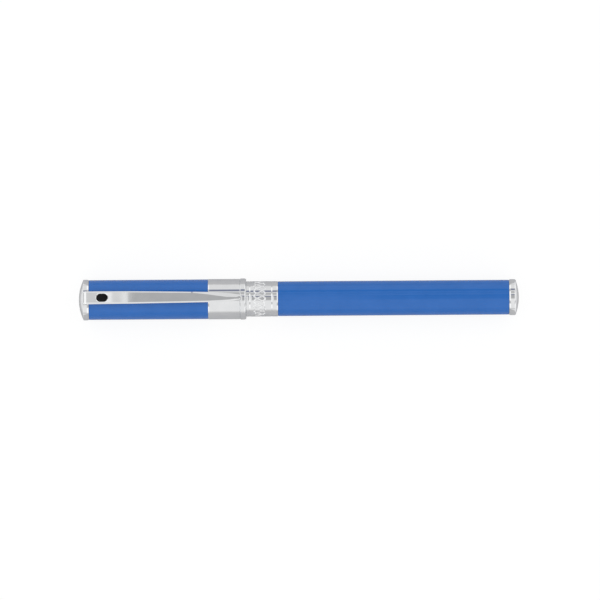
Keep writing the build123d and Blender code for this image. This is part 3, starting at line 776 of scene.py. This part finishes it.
def barrel():
    """Lacquered barrel with its ring and polished button at the tail."""
    turned(
        "BarrelTube",
        [
            (BARREL_START, BARREL_BORE),
            (BARREL_START, BARREL_RADIUS, 0.25),
            (BARREL_END, BARREL_RADIUS, 0.25),
            (BARREL_END, BARREL_BORE),
        ],
        "barrel", "blue_lacquer", ["barrel_tube"],
    )
    turned(
        "TailRing",
        [
            (BARREL_END, TAIL_STUD),
            (BARREL_END, TAIL_RING_RADIUS - 0.17, 0.03),
            (BARREL_END + 0.45, TAIL_RING_RADIUS, 0.06),
            (TAIL_RING_END, TAIL_RING_RADIUS, 0.6),
            (TAIL_RING_END, TAIL_STUD),
        ],
        "barrel", "polished_chrome", ["tail_ring"],
    )
    rim = TAIL_RING_END - 0.02
    button = dome_arc(TAIL_RING_END, TAIL_END, TAIL_BUTTON_RADIUS)
    stud = [
        (rim, TAIL_BUTTON_RADIUS - 0.03),
        (rim, TAIL_STUD),
        (TAIL_STUD_END, TAIL_STUD),
        (TAIL_STUD_END, 0),
    ]
    mesh = turned_mesh("TailButton", button + stud, closed=False)
    finished(mesh, "TailButton", "barrel", "polished_chrome", ["tail_dome"])


WIRE_RADIUS = 0.2
COIL_RADIUS = 2.3
COIL_TURNS = 7
COIL_STEPS = 40           # in one turn
WIRE_STEPS = 12           # round the wire


def spring():
    """Round wire compression spring between the refill and the tail plug."""
    low, high = SPRING_START + WIRE_RADIUS, SPRING_END - WIRE_RADIUS
    rows = []
    steps = COIL_TURNS * COIL_STEPS
    for step in range(steps + 1):
        angle = 2 * math.pi * step / COIL_STEPS
        outward = Vector((0, math.sin(angle), math.cos(angle)))
        centre = Vector((low + (high - low) * step / steps, 0, 0)) + outward * COIL_RADIUS
        row = []
        for place in range(WIRE_STEPS):
            turn = 2 * math.pi * place / WIRE_STEPS
            along = Vector((WIRE_RADIUS * math.sin(turn), 0, 0))
            row.append(centre + outward * WIRE_RADIUS * math.cos(turn) + along)
        rows.append(row)
    mesh = skinned("RefillSpring", rows)
    coil = finished(mesh, "RefillSpring", "barrel", "spring_steel", ["refill_spring"])
    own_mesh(coil)


# Writing section ------------------------------------------------------------------------
def arc_between(start, middle, end, steps=24):
    """Points on the circle through three (x, radius) points."""
    (x1, y1), (x2, y2), (x3, y3) = start, middle, end
    twice = 2 * (x1 * (y2 - y3) + x2 * (y3 - y1) + x3 * (y1 - y2))
    s1, s2, s3 = x1**2 + y1**2, x2**2 + y2**2, x3**2 + y3**2
    cx = (s1 * (y2 - y3) + s2 * (y3 - y1) + s3 * (y1 - y2)) / twice
    cy = (s1 * (x3 - x2) + s2 * (x1 - x3) + s3 * (x2 - x1)) / twice
    reach = math.hypot(x1 - cx, y1 - cy)
    first = math.atan2(y1 - cy, x1 - cx)
    turn = math.remainder(math.atan2(y3 - cy, x3 - cx) - first, 2 * math.pi)
    angles = [first + turn * step / steps for step in range(steps + 1)]
    return [(cx + reach * math.cos(angle), cy + reach * math.sin(angle)) for angle in angles]


GRIP_END = SEAM - 26.0
TRIM_START = GRIP_END - 2.0
NOSE_TIP = TRIM_START - 10.5
GROOVE_START = SEAM - 1.0
GROOVE_END = SEAM - 2.5
LAND_END = GROOVE_END - 0.7
SLEEVE_START = SEAM - 8.0
SPIGOT_END = TRIM_START + 6.0
SHOULDER_SEAT = TIP + 11.5
TIP_END = TIP + 9.5


def section():
    """Black grip with its snap groove, trim ring and chrome nose cone."""
    middle = ((LAND_END + GRIP_END) / 2, GRIP_WAIST)
    waist = arc_between((LAND_END - 0.4, GRIP_BACK), middle, (GRIP_END, GRIP_FRONT))
    turned(
        "GripSection",
        [
            (SLEEVE_START, GRIP_CORE),
            (SEAM, GRIP_CORE),
            (SEAM, GRIP_COLLAR, 0.1),
            (GROOVE_START, GRIP_COLLAR, 0.08),
            (GROOVE_START, GRIP_GROOVE, 0.08),
            (GROOVE_END, GRIP_GROOVE, 0.08),
            (GROOVE_END, GRIP_COLLAR, 0.08),
            (LAND_END, GRIP_COLLAR, 0.12),
            *waist[:-1],
            (GRIP_END, GRIP_FRONT, 0.05),
            (GRIP_END, SPIGOT),
            (GRIP_END + 4.0, SPIGOT),
            (GRIP_END + 4.0, CHANNEL),
            (SLEEVE_START, CHANNEL),
        ],
        "section", "black_resin", ["grip_section"],
    )
    turned(
        "NoseTrimRing",
        [
            (TRIM_START, SPIGOT),
            (TRIM_START, TRIM_RADIUS, 0.25),
            (GRIP_END, TRIM_RADIUS, 0.25),
            (GRIP_END, SPIGOT),
        ],
        "section", "polished_chrome", ["nose_trim_ring"],
    )
    middle = ((TRIM_START + NOSE_TIP) / 2, NOSE_WAIST)
    flank = arc_between((NOSE_TIP, NOSE_FRONT), middle, (TRIM_START, NOSE_BACK))
    turned(
        "NoseCone",
        [
            (TRIM_START, SPIGOT),
            (SPIGOT_END, SPIGOT),
            (SPIGOT_END, CHANNEL),
            (SHOULDER_SEAT, CHANNEL),
            (SHOULDER_SEAT, NOSE_SEAT),
            (TIP + 6.8, NOSE_SEAT),
            (TIP + 6.2, NOSE_BORE),
            (NOSE_TIP, NOSE_BORE, 0.08),
            (NOSE_TIP, NOSE_FRONT, 0.12),
            *flank[1:-1],
            (TRIM_START, NOSE_BACK, 0.05),
        ],
        "section", "polished_chrome", ["nose_cone"],
    )


def writing_tip():
    """Steel tip of the refill with the ball in its socket."""
    turned(
        "RefillTip",
        [
            (TIP + 0.9, 0),
            (TIP + 0.62, 0.30),
            (TIP + BALL_RADIUS, 0.372),
            (TIP + 0.12, 0.34, 0.01),
            (TIP + 0.12, 0.375, 0.02),
            (TIP + 1.2, 0.64, 0.1),
            (TIP + 2.6, TIP_RADIUS, 0.2),
            (TIP_END, TIP_RADIUS),
            (TIP_END, WICK_BORE),
            (TIP + 2.9, WICK_BORE),
            (TIP + 1.6, 0.15),
            (TIP + 1.6, 0),
        ],
        "refill", "refill_steel", ["refill_tip"], segments=TIP_SEGMENTS,
    )
    points = []
    steps = BALL_SEGMENTS // 2
    for step in range(steps + 1):
        angle = math.pi * step / steps
        points.append((TIP + BALL_RADIUS - BALL_RADIUS * math.cos(angle), BALL_RADIUS * math.sin(angle)))
    mesh = turned_mesh("RefillBall", points, closed=False, segments=BALL_SEGMENTS)
    finished(mesh, "RefillBall", "ball", "carbide", ["refill_ball"])


# Stage ----------------------------------------------------------------------------------
FLOOR_SIZE = 3.0          # half of its side, in metres
FLOOR_TINT = ((0.57, 0.57, 0.58, 1), (0.61, 0.61, 0.61, 1))
FLOOR_GLOW = 0.87         # even glow that the camera sees
FLOOR_SHADE = 0.16        # matte share that takes the contact shadow
APRON = (0.073, 0.078)    # from the pen's middle to the brighter floor past its ends, in metres
APRON_GLOW = (0.04, 0.40)
SKY_SEEN = 0.98           # sky behind the floor, as the camera sees it
FRAME = 600               # pixels across the picture


def grey(value):
    """Neutral colour of a brightness."""
    return (value, value, value, 1)


def shader_math(tree, operation, *values):
    """Math node on sockets and numbers."""
    made = tree.nodes.new("ShaderNodeMath")
    made.operation = operation
    for socket, value in zip(made.inputs, values):
        linked(tree, value, socket)
    return made.outputs[0]


def shaded(tree, kind, key, value):
    """Shader node with one input set or linked."""
    made = tree.nodes.new(kind)
    linked(tree, value, made.inputs[key])
    return made.outputs[0]


def added(tree, first, second):
    """Sum of two shaders."""
    both = tree.nodes.new("ShaderNodeAddShader")
    tree.links.new(first, both.inputs[0])
    tree.links.new(second, both.inputs[1])
    return both.outputs[0]


def split_place(tree, key):
    """X, Y and Z of a texture coordinate."""
    split = tree.nodes.new("ShaderNodeSeparateXYZ")
    tree.links.new(tree.nodes.new("ShaderNodeTexCoord").outputs[key], split.inputs[0])
    return split.outputs


def floor_material():
    """Even and bright to the camera, softer in reflections, with a brighter apron past the pen's ends."""
    material = bpy.data.materials.new("floor")
    material.use_nodes = True
    tree = material.node_tree
    tree.nodes.clear()
    noise = tree.nodes.new("ShaderNodeTexNoise")
    noise.inputs["Scale"].default_value = 3
    tint = mixed_colour(tree, noise.outputs["Fac"], *FLOOR_TINT)
    outward = shader_math(tree, "ABSOLUTE", split_place(tree, "Object")[0])
    apron = mapped(tree, outward, *APRON, *APRON_GLOW, smooth=True)
    matte = shaded(tree, "ShaderNodeBsdfDiffuse", "Color", tint)
    reflected = added(tree, matte, shaded(tree, "ShaderNodeEmission", "Strength", apron))
    faint = shaded(tree, "ShaderNodeBsdfDiffuse", "Color", grey(FLOOR_SHADE))
    bright = added(tree, faint, shaded(tree, "ShaderNodeEmission", "Strength", FLOOR_GLOW))
    path = tree.nodes.new("ShaderNodeLightPath")
    seen = tree.nodes.new("ShaderNodeMixShader")
    for socket, source in zip(seen.inputs, (path.outputs["Is Camera Ray"], reflected, bright)):
        tree.links.new(source, socket)
    out = tree.nodes.new("ShaderNodeOutputMaterial")
    tree.links.new(seen.outputs[0], out.inputs["Surface"])
    return material


def floor():
    """Plain pale floor."""
    built = bmesh.new()
    bmesh.ops.create_grid(built, x_segments=8, y_segments=8, size=FLOOR_SIZE)
    plane = loose(drawn(built, "Floor"))
    plane.data.materials.append(floor_material())


# Light tent panels: (angle about the pen's axis from overhead, towards the front, in degrees; brightness)
TENT = (
    (-125, 0.60),
    (-88, 0.68),
    (-84, 0.84),
    (-54, 0.86),
    (-50, 0.27),
    (-43, 0.27),
    (-39, 0.82),
    (-36, 0.80),
    (-33, 0.54),
    (-22, 0.54),
    (-20.5, 0.85),
    (-15.5, 0.85),
    (-13, 0.28),
    (-10, 0.28),
    (-7, 0.49),
    (10, 0.49),
    (14, 0.72),
    (18, 0.93),
    (76, 0.93),
    (86, 0.68),
    (94, 0.56),
    (100, 0.66),
    (125, 0.60),
)
# Panels in the gap overhead, towards the crown: (angle along the pen in degrees; brightness)
CROWN_PANELS = (
    (-30, 1.05),
    (-11, 1.0),
    (-9.5, 0.70),
    (-6.6, 0.72),
    (-5.8, 1.0),
    (-4.7, 1.0),
    (-4.3, 0.76),
    (-2.8, 0.76),
    (-2.5, 0.90),
    (-1.6, 0.94),
)
# Panels past the tent's middle, towards its two ends
END_TENT = (
    (-125, 0.62),
    (-92, 0.66),
    (-86, 1.15),
    (-62, 1.15),
    (-56, 0.58),
    (-44, 0.58),
    (-38, 1.16),
    (-4, 1.12),
    (28, 1.12),
    (36, 0.60),
    (50, 0.60),
    (56, 1.18),
    (84, 1.18),
    (92, 0.64),
    (125, 0.62),
)
END_WALL = 0.55           # the ends themselves
# All in degrees: along the pen, or about its axis
GAP_START = -1.45         # the dark gap overhead ends here, towards the crown
GAP_SOFT = 0.15
GAP_MIDDLE = 2
GAP_EDGE = (16, 12)       # each side of its middle
ENDS = (12, 20)           # from the middle panels to the end panels
WALLS = (64, 72)          # from the end panels to the end walls
FULL_TURN = (-180, 180)
CROWN_REACH = (-45, 0)


def smooth_step(tree, source, start, end):
    """0 at start, 1 at end, in degrees, smooth between."""
    return mapped(tree, source, math.radians(start), math.radians(end), smooth=True)


def panels(tree, angle, table, low, high):
    """Brightness from a table of (angle in degrees, brightness), slightly cool where dark."""
    share = mapped(tree, angle, math.radians(low), math.radians(high))
    ramp = tree.nodes.new("ShaderNodeValToRGB")
    tree.links.new(share, ramp.inputs[0])
    stops = ramp.color_ramp.elements
    stops.remove(stops[1])
    for degrees, bright in table:
        cool = max(0.0, 0.5 - bright) * 0.25
        stop = stops.new((degrees - low) / (high - low))
        stop.color = (bright - cool, bright - cool * 0.6, bright + cool, 1)
    stops.remove(stops[0])
    return ramp.outputs[0]


def tent():
    """World light as a soft tent of panels that run along the pen."""
    world = bpy.data.worlds.new("Tent")
    bpy.context.scene.world = world
    world.use_nodes = True
    tree = world.node_tree
    tree.nodes.clear()
    x, y, z = split_place(tree, "Generated")
    around = shader_math(tree, "ARCTAN2", shader_math(tree, "MULTIPLY", y, -1.0), z)
    along = shader_math(tree, "ARCSINE", x)
    slant = shader_math(tree, "ABSOLUTE", along)
    past = smooth_step(tree, along, GAP_START + GAP_SOFT, GAP_START - GAP_SOFT)
    turned_off = shader_math(tree, "SUBTRACT", around, math.radians(GAP_MIDDLE))
    off_middle = shader_math(tree, "ABSOLUTE", turned_off)
    overhead = shader_math(tree, "MULTIPLY", past, smooth_step(tree, off_middle, *GAP_EDGE))
    light = panels(tree, around, TENT, *FULL_TURN)
    light = mixed_colour(tree, overhead, light, panels(tree, along, CROWN_PANELS, *CROWN_REACH))
    end_panels = panels(tree, around, END_TENT, *FULL_TURN)
    light = mixed_colour(tree, smooth_step(tree, slant, *ENDS), light, end_panels)
    light = mixed_colour(tree, smooth_step(tree, slant, *WALLS), light, grey(END_WALL))
    path = tree.nodes.new("ShaderNodeLightPath")
    seen = mixed_colour(tree, path.outputs["Is Camera Ray"], light, grey(SKY_SEEN))
    out = tree.nodes.new("ShaderNodeOutputWorld")
    tree.links.new(shaded(tree, "ShaderNodeBackground", "Color", seen), out.inputs["Surface"])


def camera():
    """Camera almost overhead, with a faint roll."""
    elevation = math.radians(85)
    distance = 2.51
    data = bpy.data.cameras.new("Camera")
    data.lens = 480
    data.sensor_width = 36
    data.clip_start = 0.01
    view = bpy.data.objects.new("Camera", data)
    bpy.context.scene.collection.objects.link(view)
    back = Vector((0, -math.cos(elevation), math.sin(elevation)))
    tilt = Matrix.Rotation(math.pi / 2 - elevation, 4, "X")
    roll = Matrix.Rotation(math.radians(-0.4), 4, "Z")
    pixel = distance * data.sensor_width / data.lens / FRAME
    aside = Vector((1.15 * pixel, -1.4 * pixel, 0))
    target = Vector((0, 0, AXIS * MM))
    place = target + back * distance + tilt.to_3x3() @ aside
    view.matrix_world = Matrix.Translation(place) @ tilt @ roll
    bpy.context.scene.camera = view
    bpy.context.scene.view_settings.view_transform = "Standard"


repaint()
crown()
cap_shell()
clip()
centre_ring()
barrel()
spring()
section()
writing_tip()
floor()
tent()
camera()
